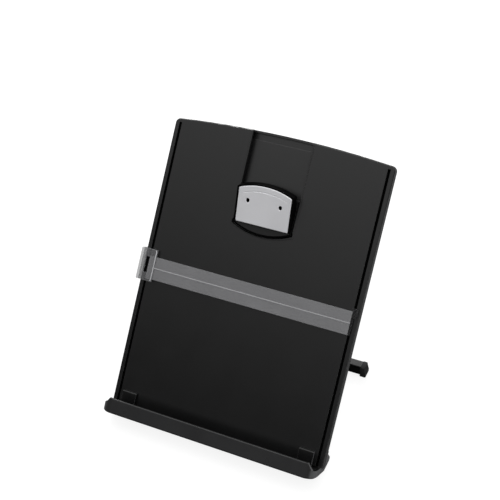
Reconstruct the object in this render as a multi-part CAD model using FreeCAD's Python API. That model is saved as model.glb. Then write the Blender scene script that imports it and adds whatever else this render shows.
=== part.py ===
import FreeCAD, Part
import math
import os

# Copy holder with a line guide: a leaning board on a ledge and a folding rear leg,
# with a sliding paper clip at the top and a clear guide strip across the page.
# Everything on the board is drawn in the board's own frame: X to the right,
# Y into the board from its front face, Z up the board from the ledge floor.
# on_desk() then leans it back on the desk, with the origin under the heel.

V = FreeCAD.Vector
X_AXIS = V(1, 0, 0)
ORIGIN = V(0, 0, 0)

# Stance, in degrees
lean = 34.6
leg_open = 52.3
clip_open = 15.0

# Board
board_w = 240.0
board_h = 310.0
board_t = 12.0
crown = 6.0
corner_r = 5.5
corner_least_r = 1.0
skin = 2.4
back_skin = 2.0
shell_wall = 2.4
joint_y = 5.0
reveal = 0.6
reveal_depth = 0.8
front_edge_r = 1.2
back_edge_r = 1.8
board_lift = 0.2
rib_first_z = 62.0
rib_pitch = 52.0
rib_count = 5
rib_h = 3.5
rib_t = 1.6
root_sink = 0.5

# Guide grooves along both sides of the face
rail_w = 4.5
groove_w = 2.8
groove_d = 3.0
groove_floor = 1.8
groove_end = 3.5

# Clip slot and slide track
slot_w = 65.6
slot_base_z = 210.5
slot_sag = 7.6
rim_w = 1.4
rim_h = 0.5
run_gap = 0.35
arm_w = 68.0
arm_t = 4.9
arm_skin = 2.4
arm_rib = 3.0
arm_drop = 190.0
arm_corner_r = 4.0
land_x = 20.0
land_w = 12.0
travel = 169.0
guide_rail_t = 2.0
track_t = 1.6
track_w = 86.0
track_z0 = 19.0
track_top_gap = 3.6
track_boss_wall = 1.0
track_head_room = 0.6
peg_r = 2.8
peg_wall = 3.0
peg_inset = 6.0
spring_w = 8.0
spring_t = 0.35
spring_len = 36.0
spring_drop = 14.0
spring_tab = 7.0
spring_room = 0.5
spring_free = 0.05
rivet_r = 0.9

# Clip
base_gap = 1.2
base_proud = 0.4
base_h = 42.6
arm_over = 1.0
base_edge_r = 0.3
base_screw_rises = (17.1, 36.1)
plate_w = 57.4
plate_side = 36.2
plate_sag = 6.0
plate_t = 1.2
plate_stand_off = 4.0
plate_rise = 10.3
plate_corner_r = 1.0
plate_edge_r = 0.5
plate_tilt = 17.6
plate_hole_x = 17.8
plate_hole_z = 24.4
plate_hole_w = 3.6
plate_hole_h = 4.8
hole_sink = 0.9
hole_margin = 0.3
plate_line_inset = 4.6
plate_line_w = 0.7
plate_line_d = 0.3
plate_line_flatter = 1.0
lever_w = 62.0
lever_top_rim = 1.3
lever_foot_rim = 0.4
lever_rim_drop = 0.5
lever_skin = 1.5
lever_wall = 2.2
lever_depth = 14.0
lever_corner_r = 2.4
lever_edge_r = 0.35
lever_boss_r = 2.9
jaw_h = 3.2
jaw_pad_t = 0.9
jaw_pad_w = 52.0
jaw_gap = 0.3
jaw_room = 2.0
jaw_pad_rise = 0.6
jaw_pad_h = 2.2
open_gap = 0.4
pivot_y = -3.8
pivot_rise = 27.5
clip_pin_r = 1.25
clip_pin_w = 60.8
ear_w = 2.6
ear_gap = 0.3
ear_r = 2.3
ear_flare = 1.0
ear_root = 1.0
coil_w = 20.0
coil_r = 2.1
coil_bore_r = 1.5
coil_wire = 0.6
coil_leg = 9.0

# Line guide
guide_z = 138.0
strip_h = 24.2
strip_t = 1.2
strip_lift = 2.3
hairline_w = 0.6
hairline_d = 0.3
hairline_z = 11.9
bracket_h = 34.3
bracket_drop = 2.8
bracket_out = 4.0
bracket_wall = 1.8
bracket_lap = 14.5
bracket_front_t = 2.3
bracket_bead = 0.8
bracket_bead_w = 1.4
bracket_corner_r = 1.4
window_w = 4.2
window_h = 17.3
window_in = 3.0
hook_reach = 11.0
pad_t = 0.6
pad_margin_z = 4.0
pad_margin_x = 1.0
finger_gap = 0.3
glide_tab_w = 3.2
glide_tab_h = 9.5
glide_tab_up = 3.0
glide_tab_r = 1.6

# Ledge
ledge_side_in = 0.5
ledge_w = board_w - 2 * ledge_side_in
ledge_depth = 27.9
lip_t = 3.0
lip_h = 9.6
lip_edge_r = 0.9
lip_top_in = 8.5
lip_foot_in = 3.5
end_wall_h = 2.0
ledge_corner_r = 12.0
ledge_step = 0.8
ledge_step_h = 1.2
ledge_step_len = 16.0
ledge_wall = 2.2
ledge_end_t = 7.2
floor_t = 2.4
ledge_drop = 6.5
ledge_rise = 2.0
ledge_back_gap = 0.3
ledge_back_t = 2.6
ledge_back_h = 16.0
ledge_back_taper = 3.0
heel_y = 14.1
heel_len = 14.6
heel_top = 4.0
heel_wall = 2.0
heel_floor = 1.8
ledge_rib_t = 2.0
ledge_bays = 6
lug_w = 16.0
lug_x = 101.0
lug_h = 15.5
lug_t = 3.3
lug_gap = 0.1
lug_edge_r = 1.2
strip_pad_w = 9.0
strip_pad_len = 208.0
strip_pad_proud = 0.9
strip_pad_seat = 0.7

# Rear leg
pin_z = 178.5
pin_r = 2.0
pin_off = 4.8
barrel_r = 4.4
barrel_half = 38.0
barrel_gap_half = 13.0
barrel_relief = 2.5
leg_t = 6.0
leg_wall = 2.2
leg_web = 2.4
leg_top_half = 38.0
leg_foot_half = 92.0
leg_arm_w = 17.0
leg_bridge = 15.0
leg_neck = 12.0
foot_w = 225.0
foot_depth = 12.4
foot_h = 11.0
foot_edge_r = 2.2
foot_end_r = 3.8
foot_pad_w = 16.0
foot_pad_inset = 5.0
foot_pad_proud = 1.3
foot_pad_seat = 0.7
stop_reach = 8.0
stop_t = 2.6
stop_gap = 0.3
ear_t = 5.0
hinge_ear_r = 5.0
hinge_gap = 0.4
cap_r = 3.6
cap_t = 1.8
cap_edge_r = 0.7
cap_floor = 0.4

# Screws and fits
press_gap = 0.02
pivot_gap = 0.05
hinge_fit = 0.08
screw_r = 1.2
csk_r = 2.4
csk_h = 1.4
track_screw_len = 6.0
shell_screw_len = 8.2
shell_head_r = 2.7
shell_head_h = 1.8
shell_boss_r = 3.6
shell_bore_depth = 2.2
shell_post = 2.0
head_edge_r = 0.6
head_room = 0.4
shank_room = 0.2
shell_screw_x = 98.0
shell_screw_zs = (34.0, 152.0, 282.0)
track_screw_zs = (44.0, 160.0, 284.0)
ledge_screw_in = 28.0
ledge_screw_past_rib = 8.467
ledge_screw_z = 9.0
ledge_screw_len = 9.0
base_screw_len = 6.0

# Places worked out from the sizes above
board_half = board_w / 2
crown_r = (board_half ** 2 + crown ** 2) / (2 * crown)
crown_z = board_h + crown - crown_r
groove_x1 = board_half - rail_w
groove_x0 = groove_x1 - groove_w
slot_half = slot_w / 2
arm_half = arm_w / 2
arm_y0 = skin + run_gap
arm_y1 = arm_y0 + arm_t
track_y0 = arm_y1 + run_gap
track_y1 = track_y0 + track_t
track_z1 = board_h - track_top_gap
rail_x0 = arm_half + run_gap
rail_x1 = rail_x0 + guide_rail_t
track_boss_r = csk_r + track_boss_wall
track_screw_x = rail_x1 + csk_r + track_head_room
base_half = slot_half - base_gap
base_y = -base_proud
base_z = slot_base_z + base_gap
base_top = base_z + base_h
arm_z0 = base_z - arm_drop
arm_z1 = base_top + arm_over
plate_bottom_z = slot_base_z + plate_rise
pivot_z = slot_base_z + pivot_rise
spring_z = slot_base_z - spring_drop
peg_z = arm_z0 + peg_inset
back_inner_y = board_t - back_skin
strip_y1 = -strip_lift
strip_y0 = strip_y1 - strip_t
pin_y = board_t + pin_off
leg_tilt = leg_open - lean
lever_half = lever_w / 2
ledge_half = ledge_w / 2
ledge_bays_half = ledge_half - ledge_end_t
ledge_bay_w = (2 * ledge_bays_half + ledge_rib_t) / ledge_bays
ledge_screw_out = 2 * ledge_bay_w + ledge_screw_past_rib
ledge_screw_xs = (-ledge_screw_out, -ledge_screw_in, ledge_screw_in, ledge_screw_out)


def spin(shape, degrees, y=0.0, z=0.0):
    """Turn a copy about an X axis through (y, z)."""
    turned = shape.copy()
    turned.rotate(V(0, y, z), X_AXIS, degrees)
    return turned


def moved(shape, x=0.0, y=0.0, z=0.0):
    copy = shape.copy()
    copy.translate(V(x, y, z))
    return copy


def mirrored(shape):
    """The same shape on the other side of the board's middle."""
    return shape.mirror(ORIGIN, X_AXIS)


def both_sides(shape):
    return [shape, mirrored(shape)]


def block(x0, x1, y0, y1, z0, z1):
    return Part.makeBox(x1 - x0, y1 - y0, z1 - z0, V(x0, y0, z0))


def rod_y(x, z, radius, y0, y1):
    """A round rod that runs into the board."""
    return Part.makeCylinder(radius, y1 - y0, V(x, y0, z), V(0, 1, 0))


def rod_x(y, z, radius, x0, x1):
    """A round rod that runs across the board."""
    return Part.makeCylinder(radius, x1 - x0, V(x0, y, z), X_AXIS)


def side_prism(points, x0, x1):
    """A side view of (y, z) points, drawn out from x0 to x1."""
    corners = [V(x0, y, z) for y, z in points]
    wire = Part.makePolygon(corners + corners[:1])
    return Part.Face(wire).extrude(V(x1 - x0, 0, 0))


def front_prism(points, y0, y1):
    """A front view of (x, z) points, drawn out from y0 to y1."""
    corners = [V(x, y0, z) for x, z in points]
    wire = Part.makePolygon(corners + corners[:1])
    return Part.Face(wire).extrude(V(0, y1 - y0, 0))


def edges_where(shape, test):
    """Edges whose ends all pass the test."""
    return [e for e in shape.Edges if e.Vertexes and all(test(v.Point) for v in e.Vertexes)]


def near(value, target, slack=0.01):
    return abs(value - target) < slack


def arch_prism(half, z0, side_z, rise, y0, y1):
    """A straight-sided front view with an arched top that rises above side_z."""
    a = V(-half, y0, z0)
    b = V(half, y0, z0)
    c = V(half, y0, side_z)
    d = V(-half, y0, side_z)
    top = V(0, y0, side_z + rise)
    arch = Part.Arc(c, top, d).toShape()
    wire = Part.Wire([Part.makeLine(a, b), Part.makeLine(b, c), arch, Part.makeLine(d, a)])
    return Part.Face(wire).extrude(V(0, y1 - y0, 0))


def bowl_prism(half, z_mid, sag, z1, y0, y1):
    """A front view with a straight top and a bottom that bows down by sag."""
    a = V(-half, y0, z_mid + sag)
    b = V(half, y0, z_mid + sag)
    c = V(half, y0, z1)
    d = V(-half, y0, z1)
    bow = Part.Arc(a, V(0, y0, z_mid), b).toShape()
    wire = Part.Wire([bow, Part.makeLine(b, c), Part.makeLine(c, d), Part.makeLine(d, a)])
    return Part.Face(wire).extrude(V(0, y1 - y0, 0))


def countersunk_screw(x, z, y_head, length, way):
    """A flat-head screw from y_head, running towards way (+1 or -1 in Y)."""
    axis = V(0, way, 0)
    head = Part.makeCone(csk_r, screw_r, csk_h, V(x, y_head, z), axis)
    shank = Part.makeCylinder(screw_r, length, V(x, y_head, z), axis)
    return head.fuse(shank).removeSplitter()


def countersunk_hole(x, z, y_head, length, way):
    axis = V(0, way, 0)
    outside = V(x, y_head - way * press_gap, z)
    head = Part.makeCone(csk_r + press_gap, screw_r + press_gap, csk_h, outside, axis)
    shank = Part.makeCylinder(screw_r + press_gap, length + 2 * press_gap, outside, axis)
    return head.fuse(shank)


def on_desk(shape):
    """Lean a board-frame shape back and set the heel strip's underside on the desk."""
    low = desk_point()
    placed = moved(shape, 0, -low[0], -low[1])
    return spin(placed, -lean)


def desk_point():
    """Middle of the heel strip's underside, as (y, z) in the board frame."""
    a = math.radians(lean)
    y = heel_y + math.cos(a) * heel_len / 2 + math.sin(a) * strip_pad_proud
    z = ledge_rise - ledge_drop + math.sin(a) * heel_len / 2 - math.cos(a) * strip_pad_proud
    return y, z


def height_over_desk(y, z):
    """How far a board-frame point stands above the desk."""
    a = math.radians(lean)
    low = desk_point()
    return (z - low[1]) * math.cos(a) - (y - low[0]) * math.sin(a)


def board_block(inset, y0, y1):
    """The board's outline, drawn in by inset, between two depths."""
    half = board_half - inset
    radius = crown_r - inset
    corner_z = crown_z + math.sqrt(radius ** 2 - half ** 2)
    rise = crown_z + radius - corner_z
    body = arch_prism(half, board_lift + inset, corner_z, rise, y0, y1)
    corners = edges_where(body, lambda p: near(p.z, corner_z))
    across = [e for e in corners if near(e.Vertexes[0].X, e.Vertexes[1].X)]
    return body.makeFillet(max(corner_r - inset, corner_least_r), across)


def slot_cutter(grow, y0, y1):
    """The clip slot, open at the top of the board."""
    half = slot_half + grow
    return bowl_prism(half, slot_base_z - grow, slot_sag, board_h + 2 * crown, y0, y1)


def shell_screw_places():
    return [(side * shell_screw_x, z) for side in (-1, 1) for z in shell_screw_zs]


def track_screw_places():
    return [(side * track_screw_x, z) for side in (-1, 1) for z in track_screw_zs]


def panel_ribs():
    """Cross ribs behind the face, between the side walls and the guide rails."""
    ribs = []
    for index in range(rib_count):
        z = rib_first_z + rib_pitch * index
        rib = block(rail_x1, groove_x0 - 1.0, skin - root_sink, skin + rib_h, z, z + rib_t)
        ribs += both_sides(rib)
    return ribs


def front_panel():
    """Moulded face: grooves, raised slot rim, guide rails, ribs and screw bosses."""
    body = board_block(0, 0, joint_y)
    body = body.makeFillet(front_edge_r, edges_where(body, lambda p: near(p.y, 0)))
    inner_x = groove_x0 - groove_floor
    hollow = board_block(shell_wall, skin, joint_y + 1)
    body = body.cut(hollow.common(block(-inner_x, inner_x, 0, board_t, 0, board_h + 2 * crown)))
    groove_top = board_h - groove_end
    groove = block(groove_x0, groove_x1, -1, groove_d, -1, groove_top)
    body = body.cut(both_sides(groove))
    rail = block(rail_x0, rail_x1, skin - root_sink, track_y0, track_z0, track_z1)
    adds = both_sides(rail) + panel_ribs()
    for x, z in track_screw_places():
        adds.append(rod_y(x, z, track_boss_r, skin - root_sink, track_y0))
    for x, z in shell_screw_places():
        adds.append(rod_y(x, z, shell_boss_r, skin - root_sink, back_inner_y - shell_bore_depth))
    rim = slot_cutter(rim_w, -rim_h, skin / 2)
    rim = rim.common(board_block(front_edge_r, -1, skin))
    body = body.fuse(adds + [rim])
    body = body.cut(slot_cutter(0, -1, skin + 1))
    top_way = block(-rail_x0, rail_x0, skin, joint_y + 1, slot_base_z, board_h + 2 * crown)
    body = body.cut(top_way)
    for x, z in track_screw_places():
        body = body.cut(countersunk_hole(x, z, track_y1, track_screw_len, -1))
    for x, z in shell_screw_places():
        start = shell_seat_y() - shell_screw_len
        body = body.cut(rod_y(x, z, screw_r + press_gap, start - press_gap, board_t))
    return body.removeSplitter()


def shell_seat_y():
    """Depth at which the back screws' heads bear."""
    return board_t - shell_bore_depth


def ledge_boss_places():
    return [(x, ledge_screw_z) for x in ledge_screw_xs]


def hinge_ear(x0):
    """One ear of the leg hinge, rounded about the pin."""
    foot_y = board_t - back_skin / 2
    r = hinge_ear_r
    bottom = V(x0, foot_y, pin_z - 2 * r)
    low = V(x0, pin_y, pin_z - r)
    nose = V(x0, pin_y + r, pin_z)
    high = V(x0, pin_y, pin_z + r)
    top = V(x0, foot_y, pin_z + 2 * r)
    bow = Part.Arc(low, nose, high).toShape()
    lines = [Part.makeLine(bottom, low), bow, Part.makeLine(high, top), Part.makeLine(top, bottom)]
    return Part.Face(Part.Wire(lines)).extrude(V(ear_t, 0, 0))


def back_shell():
    """Rear cover with the leg hinge ears, screw seats and a reveal at the joint line."""
    body = board_block(0, joint_y, board_t)
    body = body.makeFillet(back_edge_r, edges_where(body, lambda p: near(p.y, board_t)))
    body = body.cut(board_block(shell_wall, joint_y - 1, back_inner_y))
    ring = board_block(-1, joint_y - 1, joint_y + reveal)
    body = body.cut(ring.cut(board_block(reveal_depth, joint_y - 2, joint_y + 2 * reveal)))
    adds = both_sides(hinge_ear(barrel_half + hinge_gap))
    for x, z in shell_screw_places():
        adds.append(rod_y(x, z, shell_boss_r, shell_seat_y() - shell_post, board_t - back_skin / 2))
    for x, z in ledge_boss_places():
        adds.append(rod_y(x, z, shell_boss_r, skin + 1.0, board_t - back_skin / 2))
    body = body.fuse(adds)
    for x, z in shell_screw_places():
        body = body.cut(rod_y(x, z, shell_boss_r + 1, 0, shell_seat_y() - shell_post))
    top_way = block(-rail_x0, rail_x0, skin, track_y0, slot_base_z, board_h + 2 * crown)
    body = body.cut(top_way)
    for x, z in shell_screw_places():
        body = body.cut(rod_y(x, z, shell_head_r + head_room, shell_seat_y(), board_t + 1))
        body = body.cut(rod_y(x, z, screw_r + shank_room, 0, board_t))
    for x, z in ledge_boss_places():
        start = ledge_seat_y() - ledge_screw_len
        body = body.cut(rod_y(x, z, screw_r + press_gap, start - press_gap, board_t + 1))
    bore = rod_x(pin_y, pin_z, pin_r + press_gap, -board_half, board_half)
    return body.cut(bore).removeSplitter()


def slide_track():
    """Flat cover of the arm's channel, with the stop slot and two spring windows."""
    half = track_w / 2
    body = block(-half, half, track_y0, track_y1, track_z0, track_z1)
    slot_r = peg_r + run_gap
    low = rod_y(0, peg_z, slot_r, 0, board_t)
    high = rod_y(0, peg_z + travel, slot_r, 0, board_t)
    middle = block(-slot_r, slot_r, 0, board_t, peg_z, peg_z + travel)
    body = body.cut([low, high, middle])
    window_half = spring_len / 2 - spring_tab
    for x in (-land_x, land_x):
        reach = spring_w / 2 + spring_room
        window = block(x - reach, x + reach, 0, board_t, spring_z - window_half, spring_z + window_half)
        body = body.cut(window)
    for x, z in track_screw_places():
        body = body.cut(countersunk_hole(x, z, track_y1, track_screw_len, -1))
    for x, z in rivet_places():
        body = body.cut(rod_y(x, z, rivet_r + press_gap, 0, board_t))
    return body


def rivet_places():
    reach = spring_len / 2 - spring_tab / 2
    return [(x, spring_z + way * reach) for x in (-land_x, land_x) for way in (-1, 1)]


def leaf_spring(x):
    """Bowed steel leaf: its ends lie behind the track, its crest nears the arm."""
    end = spring_len / 2
    bend = end - spring_tab
    back = track_y1 + spring_t
    crest = arm_y1 + run_gap - spring_free + spring_t
    x0 = x - spring_w / 2

    def profile(shift):
        a = V(x0, back - shift, spring_z - end)
        b = V(x0, back - shift, spring_z - bend)
        mid = V(x0, crest - shift, spring_z)
        c = V(x0, back - shift, spring_z + bend)
        d = V(x0, back - shift, spring_z + end)
        return a, b, mid, c, d

    a0, b0, m0, c0, d0 = profile(0)
    a1, b1, m1, c1, d1 = profile(spring_t)
    outer = [Part.makeLine(a0, b0), Part.Arc(b0, m0, c0).toShape(), Part.makeLine(c0, d0)]
    inner = [Part.makeLine(d1, c1), Part.Arc(c1, m1, b1).toShape(), Part.makeLine(b1, a1)]
    wire = Part.Wire(outer + [Part.makeLine(d0, d1)] + inner + [Part.makeLine(a1, a0)])
    return Part.Face(wire).extrude(V(spring_w, 0, 0))


def slide_springs():
    leaves = []
    for x in (-land_x, land_x):
        leaf = leaf_spring(x)
        for rx, rz in rivet_places():
            leaf = leaf.cut(rod_y(rx, rz, rivet_r + press_gap, 0, board_t))
        leaves.append(leaf)
    return Part.makeCompound(leaves)


def spring_rivets():
    """Rivets that pin the leaves to the track, flush with both faces."""
    top = track_y1 + spring_t
    rivets = [rod_y(x, z, rivet_r, track_y0, top) for x, z in rivet_places()]
    return Part.makeCompound(rivets)


def track_screws():
    screws = [countersunk_screw(x, z, track_y1, track_screw_len, -1) for x, z in track_screw_places()]
    return Part.makeCompound(screws)


def shell_screws():
    """Pan-head screws that hold the two shells together from behind."""
    screws = []
    seat = shell_seat_y()
    for x, z in shell_screw_places():
        head = rod_y(x, z, shell_head_r, seat, seat + shell_head_h)
        head = head.makeFillet(head_edge_r, edges_where(head, lambda p: near(p.y, seat + shell_head_h)))
        screws.append(head.fuse(rod_y(x, z, screw_r, seat - shell_screw_len, seat)).removeSplitter())
    return Part.makeCompound(screws)


def ledge_seat_y():
    return board_t + ledge_back_gap + ledge_back_t


def heel_line():
    """The heel's two ends, (y, z), with the flat between them level with the desk."""
    a = math.radians(lean)
    z0 = ledge_rise - ledge_drop
    return (heel_y, z0), (heel_y + math.cos(a) * heel_len, z0 + math.sin(a) * heel_len)


def ledge_section():
    """Side view of the ledge: floor, back wall and the heel that meets the desk."""
    heel_front, heel_back = heel_line()
    back_y = board_t + ledge_back_gap
    return [
        (-ledge_depth, -ledge_drop),
        heel_front,
        heel_back,
        (heel_back[0], heel_back[1] + heel_top),
        (back_y + ledge_back_t, ledge_back_h - ledge_back_taper),
        (back_y + ledge_back_t, ledge_back_h),
        (back_y, ledge_back_h),
        (back_y, 0),
        (-ledge_depth, 0),
    ]


def ledge_plan(inset, y1, z0, z1):
    """The ledge seen from above, its two front corners rounded, drawn in by inset."""
    half = ledge_half - inset
    y0 = inset - ledge_depth
    body = block(-half, half, y0, y1, z0, z1)
    front = edges_where(body, lambda p: near(p.y, y0))
    upright = [e for e in front if near(e.Vertexes[0].X, e.Vertexes[1].X)]
    return body.makeFillet(ledge_corner_r - inset, upright)


def lip_end_cut():
    """What the rim loses: the lip's ends slope down to low end walls."""
    far = ledge_half + 1
    return front_prism([
        (ledge_half - lip_top_in, lip_h + 1),
        (ledge_half - lip_top_in, lip_h),
        (ledge_half - lip_foot_in, end_wall_h),
        (far, end_wall_h),
        (far, lip_h + 1),
    ], -ledge_depth - 1, 0)


def ledge_rim():
    """The wall round the tray: the lip in front and a low wall at each end."""
    outer = ledge_plan(0, -lug_gap, -floor_t, lip_h)
    rim = outer.cut(ledge_plan(lip_t, 0, 0, lip_h + 1))
    rim = rim.makeFillet(lip_edge_r, edges_where(rim, lambda p: near(p.z, lip_h) and p.y < -lug_gap - 1))
    return rim.cut(both_sides(lip_end_cut()))


def ledge_bay(x0, x1):
    """One hollow bay under the floor and one behind the heel."""
    under_front = -ledge_depth + lip_t
    slope = ledge_rise / (heel_y + ledge_depth)
    low = -ledge_drop - 1
    under = [
        (under_front, low),
        (heel_y - ledge_wall, low + slope * (heel_y - under_front)),
        (heel_y - ledge_wall, -floor_t),
        (under_front, -floor_t),
    ]
    heel_front, heel_back = heel_line()
    a = math.radians(lean)
    lift = (strip_pad_seat + heel_floor) / math.cos(a)
    wall_y = ledge_seat_y()
    back_y = heel_back[0] - heel_wall
    top = ledge_back_h + 1
    behind = [
        (wall_y, heel_front[1] + (wall_y - heel_y) * math.tan(a) + lift),
        (back_y, heel_front[1] + (back_y - heel_y) * math.tan(a) + lift),
        (back_y, top),
        (wall_y, top),
    ]
    return [side_prism(under, x0, x1), side_prism(behind, x0, x1)]


def ledge_tray():
    """Moulded ledge: lip with swept-down ends, ribbed underside, heel and corner lugs."""
    low = -2 * ledge_drop
    body = side_prism(ledge_section(), -ledge_half, ledge_half)
    body = body.common(ledge_plan(0, heel_y + heel_len, low, ledge_back_h + 1))
    step_y = ledge_step_len - ledge_depth
    step_z = ledge_step_h - ledge_drop
    step = ledge_plan(0, step_y, low, step_z).cut(ledge_plan(ledge_step, step_y, low, step_z))
    body = body.fuse(ledge_rim()).cut(step)
    lug = block(lug_x - lug_w / 2, lug_x + lug_w / 2, -lug_t - lug_gap, -lug_gap, -1, lug_h)
    lug = lug.makeFillet(lug_edge_r, edges_where(lug, lambda p: near(p.z, lug_h) and p.y < -lug_t))
    body = body.fuse(both_sides(lug))
    for index in range(ledge_bays):
        x0 = -ledge_bays_half + ledge_bay_w * index
        body = body.cut(ledge_bay(x0, x0 + ledge_bay_w - ledge_rib_t))
    for x, z in ledge_boss_places():
        post = rod_y(x, z, shell_boss_r, board_t + ledge_back_gap, ledge_seat_y())
        body = body.fuse(post)
        body = body.cut(rod_y(x, z, screw_r + shank_room, board_t, ledge_seat_y() + 1))
    return body.cut(heel_strip_block()).removeSplitter()


def heel_strip_block():
    """The rubber strip's space under the heel."""
    low = desk_point()
    thick = strip_pad_proud + strip_pad_seat
    strip = block(-strip_pad_len / 2, strip_pad_len / 2, -strip_pad_w / 2, strip_pad_w / 2, 0, thick)
    return spin(moved(strip, 0, low[0], low[1]), lean, low[0], low[1])


def heel_strip():
    return heel_strip_block()


def ledge_screws():
    screws = []
    seat = ledge_seat_y()
    for x, z in ledge_boss_places():
        head = rod_y(x, z, shell_head_r, seat, seat + shell_head_h)
        head = head.makeFillet(head_edge_r, edges_where(head, lambda p: near(p.y, seat + shell_head_h)))
        screws.append(head.fuse(rod_y(x, z, screw_r, seat - ledge_screw_len, seat)).removeSplitter())
    return Part.makeCompound(screws)


def hinge_pin():
    reach = barrel_half + hinge_gap + ear_t + cap_t - cap_floor
    return rod_x(pin_y, pin_z, pin_r, -reach, reach)


def pin_caps():
    """Push-on caps over the hinge pin's two ends."""
    x0 = barrel_half + hinge_gap + ear_t
    cap = rod_x(pin_y, pin_z, cap_r, x0, x0 + cap_t)
    cap = cap.makeFillet(cap_edge_r, edges_where(cap, lambda p: near(p.x, x0 + cap_t)))
    bore = rod_x(pin_y, pin_z, pin_r + press_gap, 0, x0 + cap_t - cap_floor + press_gap)
    return Part.makeCompound(both_sides(cap.cut(bore)))


def base_screw_places():
    return [(side * land_x, base_z + rise) for side in (-1, 1) for rise in base_screw_rises]


def slide_arm():
    """Long ribbed slide that carries the clip and stays inside the board."""
    body = block(-arm_half, arm_half, arm_y0, arm_y1, arm_z0, arm_z1)
    corners = edges_where(body, lambda p: near(abs(p.x), arm_half))
    along_y = [e for e in corners if not near(e.Vertexes[0].Y, e.Vertexes[1].Y)]
    body = body.makeFillet(arm_corner_r, along_y)
    inner = arm_half - arm_rib
    land0 = land_x - land_w / 2
    land1 = land_x + land_w / 2
    pocket_y = arm_y0 + arm_skin
    z0 = arm_z0 + arm_rib
    z1 = arm_z1 - arm_rib
    side_pocket = block(land1, inner, pocket_y, arm_y1 + 1, z0, z1)
    mid_pocket = block(-land0, land0, pocket_y, arm_y1 + 1, peg_z + peg_r + peg_wall, z1)
    body = body.cut(both_sides(side_pocket) + [mid_pocket])
    peg = rod_y(0, peg_z, peg_r, arm_y1 - 1, track_y1)
    body = body.fuse(peg)
    for x, z in base_screw_places():
        body = body.cut(countersunk_hole(x, z, base_y, base_screw_len, 1))
    return body.removeSplitter()


def pivot_ear(x0):
    """Upright of the clip base that holds one end of the pivot pin."""
    r = ear_r
    root_y = base_y + ear_root
    a = V(x0, root_y, pivot_z - r - ear_flare)
    b = V(x0, pivot_y, pivot_z - r)
    nose = V(x0, pivot_y - r, pivot_z)
    c = V(x0, pivot_y, pivot_z + r)
    d = V(x0, root_y, pivot_z + r + ear_flare)
    bow = Part.Arc(b, nose, c).toShape()
    lines = [Part.makeLine(a, b), bow, Part.makeLine(c, d), Part.makeLine(d, a)]
    return Part.Face(Part.Wire(lines)).extrude(V(ear_w, 0, 0))


def clip_base():
    """Bow-bottomed base plate of the clip, screwed to the slide arm."""
    body = bowl_prism(base_half, base_z, slot_sag, base_top, base_y, arm_y0)
    front = edges_where(body, lambda p: near(p.y, base_y) and p.z < base_top - 1)
    body = body.makeFillet(base_edge_r, front)
    ear_x = lever_half - lever_wall - ear_gap - ear_w
    body = body.fuse(both_sides(pivot_ear(ear_x)))
    body = body.cut(rod_x(pivot_y, pivot_z, clip_pin_r + press_gap, -slot_half, slot_half))
    for x, z in base_screw_places():
        body = body.cut(countersunk_hole(x, z, base_y, base_screw_len, 1))
    return body.removeSplitter()


def base_screws():
    screws = [countersunk_screw(x, z, base_y, base_screw_len, 1) for x, z in base_screw_places()]
    return Part.makeCompound(screws)


def clip_pin():
    return rod_x(pivot_y, pivot_z, clip_pin_r, -clip_pin_w / 2, clip_pin_w / 2)


def on_clip(shape):
    """From the plate's own frame (front face at Y 0, foot at Z 0) to the board."""
    return spin(moved(shape, 0, -plate_stand_off, plate_bottom_z), plate_tilt,
                -plate_stand_off, plate_bottom_z)


def plate_hole(x, y0, y1, grow=0.0):
    """An upright oval hole through the face plate."""
    radius = plate_hole_w / 2 + grow
    half = (plate_hole_h - plate_hole_w) / 2
    low = rod_y(x, plate_hole_z - half, radius, y0, y1)
    high = rod_y(x, plate_hole_z + half, radius, y0, y1)
    mid = block(x - radius, x + radius, y0, y1, plate_hole_z - half, plate_hole_z + half)
    return low.fuse([high, mid]).removeSplitter()


def clip_plate():
    """Arched face plate with two holes and a fine line under its top edge."""
    half = plate_w / 2
    body = arch_prism(half, 0, plate_side, plate_sag, 0, plate_t)
    corners = edges_where(body, lambda p: near(abs(p.x), half))
    along_y = [e for e in corners if not near(e.Vertexes[0].Y, e.Vertexes[1].Y)]
    body = body.makeFillet(plate_corner_r, along_y)
    body = body.makeFillet(plate_edge_r, edges_where(body, lambda p: near(p.y, 0)))
    line_half = half - plate_line_inset
    line_z = plate_side - plate_line_inset
    line_sag = plate_sag - plate_line_flatter
    line_top = arch_prism(line_half, 0, line_z, line_sag, -1, plate_line_d)
    line_low = arch_prism(line_half + 1, -1, line_z - plate_line_w, line_sag, -2, plate_t)
    body = body.cut(line_top.cut(line_low))
    for side in (-1, 1):
        body = body.cut(plate_hole(side * plate_hole_x, -1, plate_t + 1))
    return on_clip(body)


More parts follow.
